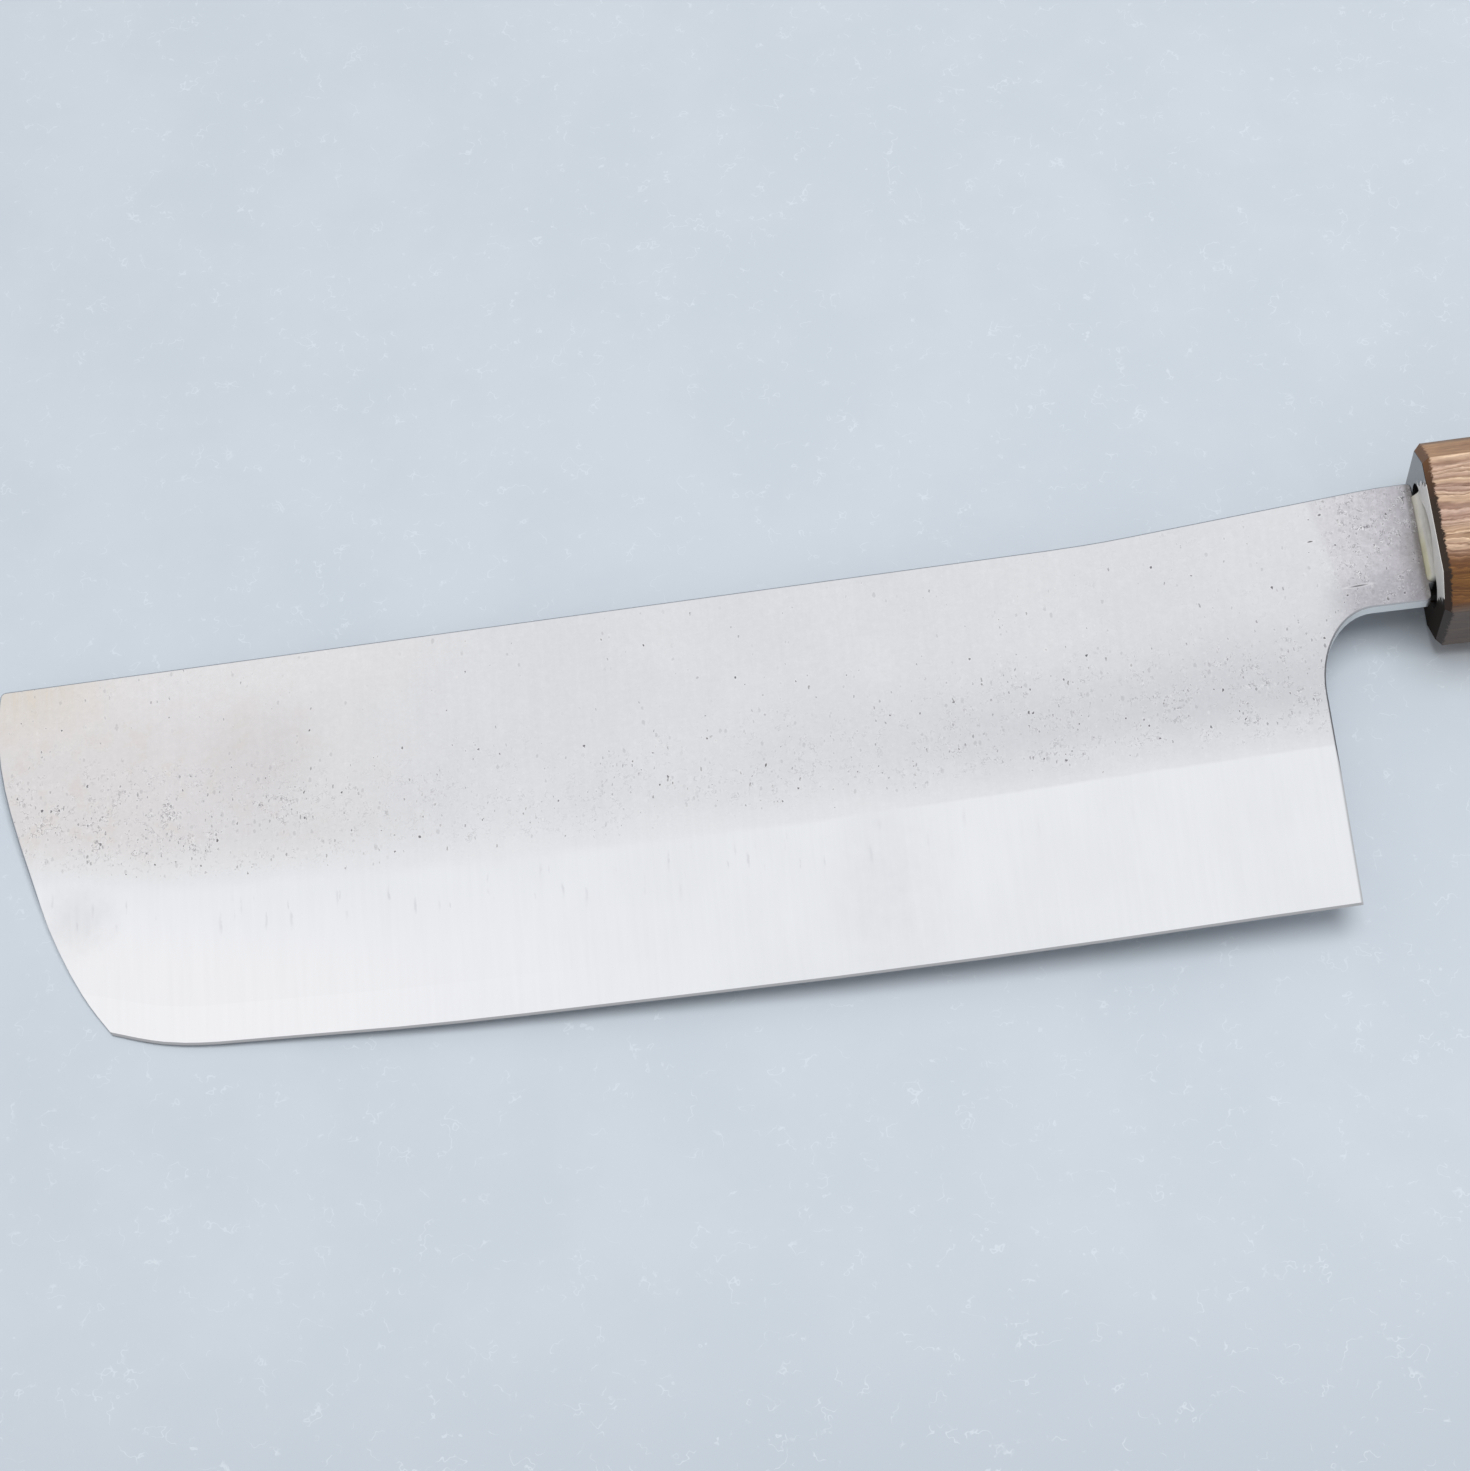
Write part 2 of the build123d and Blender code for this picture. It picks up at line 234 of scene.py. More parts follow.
    # Smears: 2 to 4 mm long and 0.4 mm wide, leaning a little, in the first 6 mm below the line.
    # Each cell's random colour draws whether its smear is kept (red) and how wide it is (green).
    smear_place = add(tree, "ShaderNodeMapping", mm, None, (0.0, 0.0, 0.1), (1.15, 0.18, 0.0))
    smear_place = add(tree, "ShaderNodeVectorMath", waver, smear_place, operation="ADD")
    smears = add(tree, "ShaderNodeTexVoronoi", smear_place, named={"Scale": 1.0})
    smear_draw = add(tree, "ShaderNodeSeparateColor", smears.outputs["Color"])
    smear_size = add(tree, "ShaderNodeMapRange", smear_draw.outputs[1], 0.0, 1.0, 0.14, 0.4)
    smear = add(tree, "ShaderNodeMath", smears.outputs["Distance"], smear_size, operation="DIVIDE")
    smear = add(tree, "ShaderNodeMapRange", smear, 1.0, 0.2, 0.0, 0.42, **smooth)
    smear_kept = add(tree, "ShaderNodeMath", smear_draw.outputs[0], 0.75, operation="LESS_THAN")
    smear = add(tree, "ShaderNodeMath", smear, smear_kept, operation="MULTIPLY")
    below_line = add(tree, "ShaderNodeMapRange", above, -0.6, -2.5, **smooth)
    smear = add(tree, "ShaderNodeMath", smear, below_line, operation="MULTIPLY")
    smear_end = add(tree, "ShaderNodeMapRange", above, -8.5, -4.0, **smooth)
    smear = add(tree, "ShaderNodeMath", smear, smear_end, operation="MULTIPLY")
    smear_part = add(tree, "ShaderNodeMapRange", x, -50.0, -75.0, 0.15, 1.0)
    smear = add(tree, "ShaderNodeMath", smear, smear_part, operation="MULTIPLY")
    road = add(tree, "ShaderNodeMixRGB", smear, road, linear("#c6c6cd"))
    road_tone = add(tree, "ShaderNodeMapRange", strokes, 0.3, 0.7, 0.984, 1.01)
    road = add(tree, "ShaderNodeMixRGB", 1.0, road, road_tone, blend_type="MULTIPLY")

    line_step = add(tree, "ShaderNodeMapRange", x, -120.0, -70.0, 1.2, 0.25)
    on_road = add(tree, "ShaderNodeMath", above, line_step, operation="DIVIDE")
    on_road = add(tree, "ShaderNodeMapRange", on_road, 1.0, -1.0, **smooth)
    colour = add(tree, "ShaderNodeMixRGB", on_road, flat, road)

    # Pits: pinpoints 0.15 to 0.3 mm wide, ticks a little longer, and faint marks twice as wide,
    # thick in the belt above the line and in patches, thin towards the spine
    height = 0.0
    if pitted:
        # A shift along x, the other way on the other side, gives each side its own pits
        side_shift = 53.0
        side = add(tree, "ShaderNodeMath", z, operation="SIGN")
        side = add(tree, "ShaderNodeMath", side, side_shift, x, operation="MULTIPLY_ADD")
        ragged_reach = (0.34, 0.5, 0.0)
        ragged = add(tree, "ShaderNodeTexNoise", mm, None, 3.0, 2.0).outputs["Color"]
        ragged = add(tree, "ShaderNodeVectorMath", ragged, ragged_reach, operation="MULTIPLY")
        pit_place = add(tree, "ShaderNodeCombineXYZ", side, y, 0.0)
        pit_place = add(tree, "ShaderNodeVectorMath", ragged, pit_place, operation="ADD")
        belt_fill = add(tree, "ShaderNodeMapRange", above, 0.0, 5.0, **smooth)
        belt_fade = add(tree, "ShaderNodeMapRange", above, 19.0, 9.0, 0.16, 1.0, **smooth)
        ends_fill = add(tree, "ShaderNodeMapRange", x, -128.0, -158.0, 0.4, 1.0, **smooth)
        heel_fill = add(tree, "ShaderNodeMapRange", x, -75.0, -35.0, 0.4, 0.9, **smooth)
        ends_fill = add(tree, "ShaderNodeMath", ends_fill, heel_fill, operation="MAXIMUM")
        patches = add(tree, "ShaderNodeTexNoise", mm, None, 0.22, 4.0, 0.75)
        patches = add(tree, "ShaderNodeMapRange", patches, 0.38, 0.64, 0.1, 1.5)
        fill = add(tree, "ShaderNodeMath", belt_fill, belt_fade, operation="MULTIPLY")
        fill = add(tree, "ShaderNodeMath", fill, ends_fill, operation="MULTIPLY")
        neck_fill = add(tree, "ShaderNodeMapRange", x, heel_x, -7.0, 0.0, 1.25, **smooth)
        fill = add(tree, "ShaderNodeMath", fill, neck_fill, operation="MAXIMUM")
        fill = add(tree, "ShaderNodeMath", fill, patches, operation="MULTIPLY")
        burnished = linear("#f6f6f8")
        # Each kind: stretch of its cells, least and largest reach, share of cells, darkness, colour
        for stretch, small, large, most, dark, colour_hex in (
            ((1.9, 1.5, 1.0), 0.17, 0.38, 0.24, 0.85, "#46434a"),
            ((2.6, 1.1, 1.0), 0.2, 0.38, 0.55, 0.52, "#5a585e"),
            ((1.4, 0.9, 1.0), 0.24, 0.42, 0.9, 0.2, "#626068"),
        ):
            kind_place = add(tree, "ShaderNodeMapping", pit_place, None, None, stretch)
            cells = add(tree, "ShaderNodeTexVoronoi", kind_place, named={"Scale": 1.0})
            draw = add(tree, "ShaderNodeSeparateColor", cells.outputs["Color"])
            size = add(tree, "ShaderNodeMath", draw.outputs[1], 2.0, operation="POWER")
            size = add(tree, "ShaderNodeMapRange", size, 0.0, 1.0, small, large)
            away = add(tree, "ShaderNodeMath", cells.outputs["Distance"], size, operation="DIVIDE")
            chance = add(tree, "ShaderNodeMath", fill, most, operation="MULTIPLY")
            kept = add(tree, "ShaderNodeMath", draw.outputs[0], chance, operation="LESS_THAN")
            dark_share = add(tree, "ShaderNodeMapRange", draw.outputs[2], 0.0, 1.0, 0.35, 1.0)
            # The burnished rim of a pit is a little lighter than the steel round it
            rim = add(tree, "ShaderNodeMapRange", away, 1.7, 1.1, 0.0, 0.34 * dark)
            rim = add(tree, "ShaderNodeMath", rim, kept, operation="MULTIPLY")
            colour = add(tree, "ShaderNodeMixRGB", rim, colour, burnished)
            pit = add(tree, "ShaderNodeMapRange", away, 1.0, 0.6, 0.0, dark)
            pit = add(tree, "ShaderNodeMath", pit, dark_share, operation="MULTIPLY")
            pit = add(tree, "ShaderNodeMath", pit, kept, operation="MULTIPLY")
            colour = add(tree, "ShaderNodeMixRGB", pit, colour, linear(colour_hex))
            height = add(tree, "ShaderNodeMath", height, pit, operation="SUBTRACT")
        # Etched marks: short curled lines, dark with a light edge, between the pits
        etch = add(tree, "ShaderNodeTexNoise", mm, None, 1.1, 3.0, 0.65)
        etch_fill = add(tree, "ShaderNodeTexNoise", mm, None, 0.9, 2.0)
        etch_fill = add(tree, "ShaderNodeMapRange", etch_fill, 0.48, 0.58)
        etch_fill = add(tree, "ShaderNodeMath", etch_fill, fill, operation="MULTIPLY")
        for middle, share, mark_colour in (
            (0.52, 0.38, linear("#5e5b62")),
            (0.47, 0.36, burnished),
        ):
            mark = add(tree, "ShaderNodeMath", etch, middle, operation="SUBTRACT")
            mark = add(tree, "ShaderNodeMath", mark, operation="ABSOLUTE")
            mark = add(tree, "ShaderNodeMapRange", mark, 0.032, 0.012, 0.0, share)
            mark = add(tree, "ShaderNodeMath", mark, etch_fill, operation="MULTIPLY")
            colour = add(tree, "ShaderNodeMixRGB", mark, colour, mark_colour)
        # Two knocks and a scratch on the left of the neck: middle, half lengths, turn and darkness
        neck_face = 1.1
        for knock_x, knock_y, half_long, half_wide, lean, dark in (
            (-12.2, 5.3, 0.28, 0.2, 0.4, 0.75),
            (-13.9, 1.85, 0.45, 0.13, 0.1, 0.9),
            (-9.0, -4.8, 1.4, 0.15, 0.06, 0.75),
        ):
            middle = (knock_x, knock_y, neck_face)
            knock = add(tree, "ShaderNodeVectorMath", mm, middle, operation="SUBTRACT")
            turn = {"Angle": -lean}
            knock = add(
                tree, "ShaderNodeVectorRotate", knock, named=turn, rotation_type="Z_AXIS"
            )
            reach = (1 / half_long, 1 / half_wide, 1.0)
            knock = add(tree, "ShaderNodeVectorMath", knock, reach, operation="MULTIPLY")
            knock = add(tree, "ShaderNodeVectorMath", knock, operation="LENGTH")
            rim = add(tree, "ShaderNodeMapRange", knock, 1.7, 1.1, 0.0, dark / 2)
            colour = add(tree, "ShaderNodeMixRGB", rim, colour, burnished)
            knock = add(tree, "ShaderNodeMapRange", knock, 1.0, 0.4, 0.0, dark)
            colour = add(tree, "ShaderNodeMixRGB", knock, colour, linear("#4a4850"))
            height = add(tree, "ShaderNodeMath", height, knock, operation="SUBTRACT")

    # Narrow faces round the blade, told by how far they turn from the flat, get painted
    # reflections: the sharpened edge and the eased corners are painted as thin darker lines, and
    # the ledge between them is painted paler
    facing = add(tree, "ShaderNodeNewGeometry").outputs["Normal"]
    facing = add(tree, "ShaderNodeSeparateXYZ", facing).outputs["Z"]
    facing = add(tree, "ShaderNodeMath", facing, operation="ABSOLUTE")
    painted_edge_reflection = add(tree, "ShaderNodeMapRange", facing, 0.985, 0.965)
    colour = add(tree, "ShaderNodeMixRGB", painted_edge_reflection, colour, linear("#a4a6aa"))
    painted_corner_reflection = add(tree, "ShaderNodeMapRange", facing, 0.92, 0.8)
    colour = add(tree, "ShaderNodeMixRGB", painted_corner_reflection, colour, linear("#b2b5bb"))
    # Painted shade: below the choil the heel's corner is too thin to ease, and its last 0.3 mm is
    # painted darker as a thin shaded line
    painted_heel_shade = add(
        tree, "ShaderNodeMapRange", x, heel_x - 0.32, heel_x - 0.12, 0.0, 0.9
    )
    below_choil = add(tree, "ShaderNodeMapRange", y, -17.8, -18.8)
    painted_heel_shade = add(tree, "ShaderNodeMath", painted_heel_shade, below_choil, operation="MULTIPLY")
    colour = add(tree, "ShaderNodeMixRGB", painted_heel_shade, colour, linear("#aeb0b4"))
    painted_ledge_reflection = add(tree, "ShaderNodeMapRange", facing, 0.5, 0.3)
    colour = add(tree, "ShaderNodeMixRGB", painted_ledge_reflection, colour, linear("#edeeee"))

    # The tang, hidden in the handle, keeps its dull black forge scale
    scale = add(tree, "ShaderNodeMapRange", x, -0.35, 0.1)
    colour = add(tree, "ShaderNodeMixRGB", scale, colour, linear("#2f2c2a"))

    roughness = add(tree, "ShaderNodeMapRange", on_road, 0.0, 1.0, 0.42, 0.32)
    roughness = add(tree, "ShaderNodeMath", mottle, 0.06, roughness, operation="MULTIPLY_ADD")
    roughness = add(tree, "ShaderNodeMath", scale, 0.3, roughness, operation="MULTIPLY_ADD")
    height = add(tree, "ShaderNodeMath", grit, 0.15, height, operation="MULTIPLY_ADD")
    bump = add(
        tree, "ShaderNodeBump", named={"Strength": 0.35, "Distance": 0.00003, "Height": height}
    )
    settings = {"Base Color": colour, "Metallic": 1.0, "Roughness": roughness, "Normal": bump}
    shader = add(tree, "ShaderNodeBsdfPrincipled", named=settings)
    add(tree, "ShaderNodeOutputMaterial", shader)
    return material


dress("core_steel", ground_steel("core_steel_stone_ground", "#ebedf1", "#f3f3f6", False))

# Claddings: two layers of soft iron, forge-welded onto the core and ground with it. They make up
# the flats of the blade, the neck and most of the tang, and carry the pits of the forge scale.
cladding_finish = ground_steel("soft_iron_satin_ground", "#ebedf1", "#f1f1f4", True)
for cladding in ("left_cladding", "right_cladding"):
    dress(cladding, cladding_finish)

# Handle: one piece of open-pored oak, heat-darkened, planed to an octagon and oiled. Its front end
# is stained almost black and varnished, and the sealing resin left a thin pale film on it, which
# also carries a painted reflection of the neck.
handle_finish, tree, mm, (x, y, z) = start_finish("oak_heat_darkened")
ring_spacing = 0.85
pith = (0.0, -24.0, -14.0)
# The rings wander slowly along the handle, and waver a little every few millimetres
slow_place = add(tree, "ShaderNodeMapping", mm, None, None, (0.02, 0.07, 0.07))
slow = add(tree, "ShaderNodeTexNoise", slow_place, None, 1.0, 2.0)
slow_reach = (0, 7, 7)
slow = add(tree, "ShaderNodeVectorMath", slow.outputs["Color"], slow_reach, operation="MULTIPLY")
slow = add(tree, "ShaderNodeVectorMath", slow, mm, operation="ADD")
quick_place = add(tree, "ShaderNodeMapping", mm, None, None, (0.25, 0.4, 0.4))
quick = add(tree, "ShaderNodeTexNoise", quick_place, None, 1.0, 3.0, 0.6)
quick_reach = (0, 1.1, 1.1)
quick = add(tree, "ShaderNodeVectorMath", quick.outputs["Color"], quick_reach, operation="MULTIPLY")
quick = add(tree, "ShaderNodeVectorMath", quick, slow, operation="ADD")
across = add(tree, "ShaderNodeVectorMath", quick, (0, 1, 1), operation="MULTIPLY")
radius = add(tree, "ShaderNodeVectorMath", across, pith, operation="DISTANCE")
# No two rings are the same width
uneven = add(tree, "ShaderNodeTexNoise", None, radius, 0.55, 3.0, noise_dimensions="1D")
ring = add(tree, "ShaderNodeMath", radius, ring_spacing, operation="DIVIDE")
ring = add(tree, "ShaderNodeMath", uneven, 4.0, ring, operation="MULTIPLY_ADD")
ring = add(tree, "ShaderNodeMath", ring, operation="FRACT")
fibre_place = add(tree, "ShaderNodeMapping", mm, None, None, (0.2, 2.3, 2.3))
fibre = add(tree, "ShaderNodeTexNoise", fibre_place, None, 1.0, 5.0, 0.7)
ring = add(tree, "ShaderNodeMath", fibre, 1.2, ring, operation="MULTIPLY_ADD")
ring = add(tree, "ShaderNodeMath", ring, 0.6, operation="SUBTRACT")
grain = add(tree, "ShaderNodeValToRGB", ring)
for position, colour in (
    (0.0, "#b29884"),
    (0.16, "#9f8470"),
    (0.4, "#bda38f"),
    (0.68, "#cbb39f"),
    (0.88, "#e8d2bc"),
    (1.0, "#bda38e"),
):
    ramp = grain.color_ramp.elements
    ends = {0.0: ramp[0], 1.0: ramp[len(ramp) - 1]}
    stop = ends[position] if position in ends else ramp.new(position)
    stop.position = position
    stop.color = linear(colour)
# Broad bands, a few rings wide, are tan or slightly lilac
band = add(tree, "ShaderNodeMath", radius, 0.42, operation="MULTIPLY")
band = add(tree, "ShaderNodeTexNoise", None, band, 1.0, 2.0, noise_dimensions="1D")
band = add(tree, "ShaderNodeMapRange", band, 0.35, 0.65, **smooth)
band = add(tree, "ShaderNodeMixRGB", band, linear("#ebe0e4"), linear("#fff8ee"))
wood = add(tree, "ShaderNodeMixRGB", 1.0, grain, band, blend_type="MULTIPLY")
# Pores: 0.2 mm wide and 2 to 5 mm long, drawn more often in the early part of each ring
pore_place = add(tree, "ShaderNodeMapping", mm, None, None, (0.25, 2.4, 2.4))
pores = add(tree, "ShaderNodeTexVoronoi", pore_place, named={"Scale": 1.0})
pore_draw = add(tree, "ShaderNodeSeparateColor", pores.outputs["Color"])
pore = add(tree, "ShaderNodeMapRange", pores.outputs["Distance"], 0.36, 0.22, 0.0, 0.6)
early = add(tree, "ShaderNodeMapRange", ring, 0.55, 0.3, 0.08, 0.45)
early = add(tree, "ShaderNodeMath", pore_draw.outputs[0], early, operation="LESS_THAN")
pore = add(tree, "ShaderNodeMath", pore, early, operation="MULTIPLY")
wood = add(tree, "ShaderNodeMixRGB", pore, wood, linear("#6a4c39"))
# Older wood, nearer the pith, is darker and more orange
old_wood = add(tree, "ShaderNodeMapRange", radius, 36.5, 34.0, 0.0, 0.95, **smooth)
wood = add(tree, "ShaderNodeMixRGB", old_wood, wood, linear("#98742e"), blend_type="MULTIPLY")
# Painted shade: the upper bevels are a little darker and warmer than the broad facets, from how the
# light falls on them
facing = add(tree, "ShaderNodeNewGeometry").outputs["Normal"]
facing = add(tree, "ShaderNodeSeparateXYZ", facing).outputs["Y"]
painted_bevel_shade = add(tree, "ShaderNodeMapRange", facing, 0.3, 0.5)
wood = add(tree, "ShaderNodeMixRGB", painted_bevel_shade, wood, linear("#d8c6b2"), blend_type="MULTIPLY")
# Painted shade: the side facets are painted grey, as they lie in shade
painted_side_shade = add(tree, "ShaderNodeMath", y, operation="ABSOLUTE")
painted_side_shade = add(tree, "ShaderNodeMapRange", painted_side_shade, 10.6, 11.4, 0.0, 0.75)
wood = add(tree, "ShaderNodeMixRGB", painted_side_shade, wood, linear("#5b5653"))
fibre_tone = add(tree, "ShaderNodeMapRange", fibre, 0.3, 0.7, 0.9, 1.08)
wood = add(tree, "ShaderNodeMixRGB", 1.0, wood, fibre_tone, blend_type="MULTIPLY")
# Fibres, 0.1 mm wide, drawn at 0.25 mm so that they show
streak_place = add(tree, "ShaderNodeMapping", mm, None, None, (0.45, 4.0, 4.0))
streaks = add(tree, "ShaderNodeTexNoise", streak_place, None, 1.0, 2.0, 0.6)
streak_tone = add(tree, "ShaderNodeMapRange", streaks, 0.3, 0.7, 0.84, 1.12)
wood = add(tree, "ShaderNodeMixRGB", 1.0, wood, streak_tone, blend_type="MULTIPLY")
# Stain of the front end, brown on the upper chamfer, soaked a little way into the grain
soak = add(tree, "ShaderNodeMath", fibre, -1.6, x, operation="MULTIPLY_ADD")
soak = add(tree, "ShaderNodeMath", streaks, -0.7, soak, operation="MULTIPLY_ADD")
stain_share = add(tree, "ShaderNodeMapRange", soak, -0.2, -0.45, **smooth)
stain_low = add(tree, "ShaderNodeMapRange", y, 9.0, 1.0, **smooth)
stain = add(tree, "ShaderNodeMixRGB", stain_low, linear("#6a4628"), linear("#281809"))
wood = add(tree, "ShaderNodeMixRGB", stain_share, wood, stain)
# Painted shade inside the slot: the wood is painted dark in an oval a little larger than the slot,
# without the butt
slot_shares = (0.0, 0.118, 0.29)
slot_edge = 1.12
slot_reach = add(tree, "ShaderNodeVectorMath", mm, slot_shares, operation="MULTIPLY")
slot_reach = add(tree, "ShaderNodeVectorMath", slot_reach, operation="LENGTH")
painted_slot_shade = add(tree, "ShaderNodeMath", slot_reach, slot_edge, operation="LESS_THAN")
butt_x = 110.0
not_butt = add(tree, "ShaderNodeMath", x, butt_x, operation="LESS_THAN")
painted_slot_shade = add(tree, "ShaderNodeMath", painted_slot_shade, not_butt, operation="MULTIPLY")
wood = add(tree, "ShaderNodeMixRGB", painted_slot_shade, wood, linear("#353230"))
# Film of resin, only on the left half of the front face, as long as the slot and with ragged ends.
# Its pale colour also stands in for the neck mirrored in the varnish: a painted reflection
off_middle = add(tree, "ShaderNodeMath", z, operation="ABSOLUTE")
film_lean = 0.46
film_shift = add(tree, "ShaderNodeMath", off_middle, film_lean, y, operation="MULTIPLY_ADD")
film_edge = add(tree, "ShaderNodeTexNoise", mm, None, 1.2, 3.0)
film_edge = add(tree, "ShaderNodeMapRange", film_edge, 0.3, 0.7, -0.5, 0.5)
film_shift = add(tree, "ShaderNodeMath", film_shift, film_edge, operation="ADD")
film_top = add(tree, "ShaderNodeMapRange", film_shift, 8.6, 8.0, **smooth)
film_bottom = add(tree, "ShaderNodeMapRange", film_shift, -7.8, -7.0, **smooth)
film_and_painted_reflection = add(tree, "ShaderNodeMath", film_top, film_bottom, operation="MULTIPLY")
film_front = add(tree, "ShaderNodeMath", x, 0.05, operation="LESS_THAN")
film_upper = add(tree, "ShaderNodeMapRange", z, 0.1, 0.5, **smooth)
film_and_painted_reflection = add(tree, "ShaderNodeMath", film_and_painted_reflection, film_upper, operation="MULTIPLY")
film_and_painted_reflection = add(tree, "ShaderNodeMath", film_and_painted_reflection, film_front, operation="MULTIPLY")
varnish = add(tree, "ShaderNodeMath", film_front, film_and_painted_reflection, operation="SUBTRACT")
wood = add(tree, "ShaderNodeMixRGB", varnish, wood, linear("#181412"))
wood = add(tree, "ShaderNodeMixRGB", film_and_painted_reflection, wood, linear("#faf8f4"))
gloss = add(tree, "ShaderNodeMapRange", varnish, 0.0, 1.0, 0.55, 0.1)
gloss = add(tree, "ShaderNodeMath", film_and_painted_reflection, -0.3, gloss, operation="MULTIPLY_ADD")
relief = add(tree, "ShaderNodeMath", fibre, 0.5, ring, operation="MULTIPLY_ADD")
relief = add(tree, "ShaderNodeMath", relief, pore, operation="SUBTRACT")
bare = add(tree, "ShaderNodeMath", 1.0, stain_share, operation="SUBTRACT")
relief = add(tree, "ShaderNodeMath", relief, bare, operation="MULTIPLY")
bump = add(tree, "ShaderNodeBump", named={"Strength": 0.3, "Distance": 0.00003, "Height": relief})
settings = {"Base Color": wood, "Roughness": gloss, "IOR": 1.5, "Normal": bump}
shader = add(tree, "ShaderNodeBsdfPrincipled", named=settings)
# Painted shade: below the slot the end face is a matt black, in place of its mirror image of the
# shade under the neck
matt = add(tree, "ShaderNodeBsdfDiffuse", linear("#3a3633"))
matt_shade = add(tree, "ShaderNodeMapRange", y, 3.0, 0.0, **smooth)
matt_shade = add(tree, "ShaderNodeMath", matt_shade, varnish, operation="MULTIPLY")
shader = add(tree, "ShaderNodeMixShader", matt_shade, shader, matt)
add(tree, "ShaderNodeOutputMaterial", shader)
dress("handle", handle_finish)

# Glue round the tang: slow epoxy, poured into the bore. It cures clear amber and is seen only deep
# in the open ends of the slot.
glue_finish, tree, mm, _ = start_finish("epoxy_amber")
clouds = add(tree, "ShaderNodeTexNoise", mm, None, 0.4, 3.0)
amber = add(tree, "ShaderNodeMixRGB", clouds, linear("#6a5a3a"), linear("#8d7c52"))
shader = add(
    tree, "ShaderNodeBsdfPrincipled", named={"Base Color": amber, "Roughness": 0.3, "IOR": 1.52}
)
add(tree, "ShaderNodeOutputMaterial", shader)
dress("tang_bond", glue_finish)

# Mouth seal: pale resin, run into the slot on both sides of the tang. It climbs the steel in a
# hollow bead, ends short of the slot's rounded ends, and is yellow-green where it is thick.
seal_finish, tree, mm, (x, y, _) = start_finish("resin_pale")
clouds = add(tree, "ShaderNodeTexNoise", mm, None, 0.7, 4.0)
cloud_share = add(tree, "ShaderNodeMapRange", clouds, 0.35, 0.65, **smooth)
pale = add(tree, "ShaderNodeMixRGB", cloud_share, linear("#e8e6df"), linear("#f3f1e9"))
thin = add(tree, "ShaderNodeMapRange", x, -0.2, -0.75, 0.0, 0.7, **smooth)
pale = add(tree, "ShaderNodeMixRGB", thin, pale, linear("#b4b0a6"))
thick = add(tree, "ShaderNodeMapRange", y, 2.5, -1.5, 0.25, 1.0, **smooth)
thick_end = add(tree, "ShaderNodeMapRange", y, -6.3, -4.0, 0.1, 1.0, **smooth)
thick = add(tree, "ShaderNodeMath", thick, thick_end, operation="MULTIPLY")
beside_steel = add(tree, "ShaderNodeMapRange", x, -0.05, -0.35, **smooth)
thick = add(tree, "ShaderNodeMath", thick, beside_steel, operation="MULTIPLY")
pale = add(tree, "ShaderNodeMixRGB", thick, pale, linear("#f8f7dc"), blend_type="MULTIPLY")
# Painted shade: where it has sunk into the slot, at its end skins and at its low end it is painted
# dark and dull
painted_deep_shade = add(tree, "ShaderNodeMapRange", x, 0.45, 0.8)
painted_end_shade = add(tree, "ShaderNodeMath", y, operation="ABSOLUTE")
painted_end_shade = add(tree, "ShaderNodeMapRange", painted_end_shade, 6.2, 6.28)
painted_deep_shade = add(tree, "ShaderNodeMath", painted_deep_shade, painted_end_shade, operation="MAXIMUM")
low_end = add(tree, "ShaderNodeMapRange", y, -5.15, -5.5)
painted_deep_shade = add(tree, "ShaderNodeMath", painted_deep_shade, low_end, operation="MAXIMUM")
pale = add(tree, "ShaderNodeMixRGB", painted_deep_shade, pale, linear("#211f1d"))
gloss = add(tree, "ShaderNodeMapRange", painted_deep_shade, 0.0, 1.0, 0.28, 0.9)
settings = {"Base Color": pale, "Roughness": gloss, "IOR": 1.52}
shader = add(tree, "ShaderNodeBsdfPrincipled", named=settings)
add(tree, "ShaderNodeOutputMaterial", shader)

# The bead, in metres: a section swept along the slot on one side, and the same turned over
tree = bpy.data.node_groups.new("mouth_bead", "GeometryNodeTree")
tree.interface.new_socket("Geometry", in_out="OUTPUT", socket_type="NodeSocketGeometry")
bead_sizes = {
    "Half length": 0.0063,
    "Straight half": 0.005,
    "Neck half": 0.00105,
    "Slot half": 0.0032,
    "Stand": 0.00078,
    "Depth": 0.0059,
    "Hollow": 0.0003,
    "End fall": 0.0026,
    "Unevenness": 0.00022,
}
bead_sockets = {
    name: tree.interface.new_socket(name, in_out="INPUT", socket_type="NodeSocketFloat")
    for name in bead_sizes
}
sizes = add(tree, "NodeGroupInput").outputs
back = {
    name: add(tree, "ShaderNodeMath", sizes[name], -1.0, operation="MULTIPLY")
    for name in ("Half length", "Neck half", "Slot half", "Stand")
}
path_start = add(tree, "ShaderNodeCombineXYZ", 0.0, back["Half length"], 0.0)
path_end = add(tree, "ShaderNodeCombineXYZ", 0.0, sizes["Half length"], 0.0)
path = add(tree, "GeometryNodeCurvePrimitiveLine", path_start, path_end)
steps_along, cuts_per_side = 90, 11
path = add(tree, "GeometryNodeResampleCurve", path, named={"Count": steps_along})
corners = {
    "Point 1": add(tree, "ShaderNodeCombineXYZ", back["Stand"], back["Neck half"], 0.0),
    "Point 2": add(tree, "ShaderNodeCombineXYZ", 0.0, back["Slot half"], 0.0),
    "Point 3": add(tree, "ShaderNodeCombineXYZ", sizes["Depth"], back["Slot half"], 0.0),
    "Point 4": add(tree, "ShaderNodeCombineXYZ", sizes["Depth"], back["Neck half"], 0.0),
}
section = add(tree, "GeometryNodeCurvePrimitiveQuadrilateral", mode="POINTS", named=corners)
section = add(tree, "GeometryNodeSubdivideCurve", section, cuts_per_side)
bead = add(tree, "GeometryNodeCurveToMesh", path, section, named={"Fill Caps": True})
place = add(tree, "GeometryNodeInputPosition")
x, y, z = add(tree, "ShaderNodeSeparateXYZ", place).outputs
